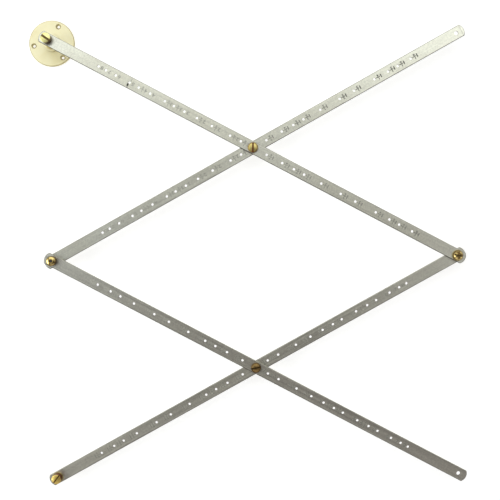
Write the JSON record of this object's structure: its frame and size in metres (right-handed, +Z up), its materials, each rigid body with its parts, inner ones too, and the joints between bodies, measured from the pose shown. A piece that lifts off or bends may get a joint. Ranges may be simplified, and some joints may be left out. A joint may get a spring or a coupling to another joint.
{
  "type": "drawing pantograph",
  "caption": "Drawing pantograph: drilled flat bars pivoted as a parallelogram on a round screw-down anchor, with a lead holder and a tracing point, for copying at a set ratio.",
  "frame": {"origin": "the anchor's pivot axis at the underside of the base plate", "axes": "+Z up from the drawing board; the lead and the tracing point lie along -Y from the anchor; +X towards the corner where the anchor bar and the tracer bar meet"},
  "size_m": [0.4813, 0.5193, 0.0289],
  "materials": {
    "bars": "satin, brushed along the bar",
    "plate": "pale satin brass",
    "fittings": "polished turned brass",
    "point": "ground steel",
    "lead": "graphite lead"
  },
  "bodies": {
    "anchor": {"base_plate": "plate", "anchor_post": "fittings", "anchor_washers": "fittings", "anchor_knob": "fittings"},
    "anchor_bar": {"anchor_bar": "bars", "upper_screw": "fittings", "upper_spacer": "fittings", "upper_nut": "fittings", "corner_screw": "fittings", "corner_washer": "fittings", "corner_spacer": "fittings", "corner_foot": "fittings"},
    "upper_cross_bar": {"upper_cross_bar": "bars", "lead_spacer": "fittings"},
    "tracer_bar": {"tracer_bar": "bars"},
    "lower_cross_bar": {"lower_cross_bar": "bars", "lower_screw": "fittings", "lower_spacer": "fittings", "lower_nut": "fittings"},
    "lead_holder": {"lead_holder": "fittings", "lead_nose": "fittings"},
    "lead_clamp": {"lead_clamp_screw": "fittings"},
    "lead": {"drawing_lead": "lead"},
    "tracer": {"tracer_screw": "fittings", "tracer_washer": "fittings", "tracer_sleeve": "fittings"},
    "point": {"tracer_point": "point"},
    "point_clamp": {"tracer_set_screw": "fittings"}
  },
  "joints": [
    {"name": "anchor_swivel", "type": "hinge", "parent": "anchor", "child": "anchor_bar", "pos_m": [0, 0, 0.02075], "axis": [0, 0, 1], "continuous": true},
    {"name": "frame_fold", "type": "hinge", "parent": "anchor_bar", "child": "upper_cross_bar", "pos_m": [0.22322, -0.1212, 0.01875], "axis": [0, 0, 1], "range_deg": [-49, 115]},
    {"name": "corner_pivot", "type": "hinge", "parent": "anchor_bar", "child": "tracer_bar", "pos_m": [0.44644, -0.2424, 0.01875], "axis": [0, 0, 1], "range_deg": [-49, 115]},
    {"name": "left_pivot", "type": "hinge", "parent": "upper_cross_bar", "child": "lower_cross_bar", "pos_m": [0, -0.2424, 0.02075], "axis": [0, 0, 1], "range_deg": [-115, 49]},
    {"name": "holder_turn", "type": "hinge", "parent": "upper_cross_bar", "child": "lead_holder", "pos_m": [0, -0.2424, 0.01875], "axis": [0, 0, 1], "continuous": true},
    {"name": "lead_feed", "type": "slide", "parent": "lead_holder", "child": "lead", "axis": [0, 0, 1], "range_m": [0, 0.01]},
    {"name": "tracer_turn", "type": "hinge", "parent": "tracer_bar", "child": "tracer", "pos_m": [0, -0.48479, 0.01875], "axis": [0, 0, 1], "continuous": true},
    {"name": "lead_clamp_turn", "type": "hinge", "parent": "lead_holder", "child": "lead_clamp", "pos_m": [0, -0.2424, 0.0086], "axis": [0.8788, 0.4772, 0], "range_deg": [0, 360]},
    {"name": "point_clamp_turn", "type": "hinge", "parent": "tracer", "child": "point_clamp", "pos_m": [0, -0.48479, 0.0086], "axis": [0.8788, 0.4772, 0], "range_deg": [0, 360]},
    {"name": "point_slide", "type": "slide", "parent": "tracer", "child": "point", "axis": [0, 0, 1], "range_m": [0, 0.0012]}
  ],
  "couplings": [
    {"joint": "corner_pivot", "follows": "frame_fold", "ratio": 1},
    {"joint": "left_pivot", "follows": "frame_fold", "ratio": -1}
  ]
}
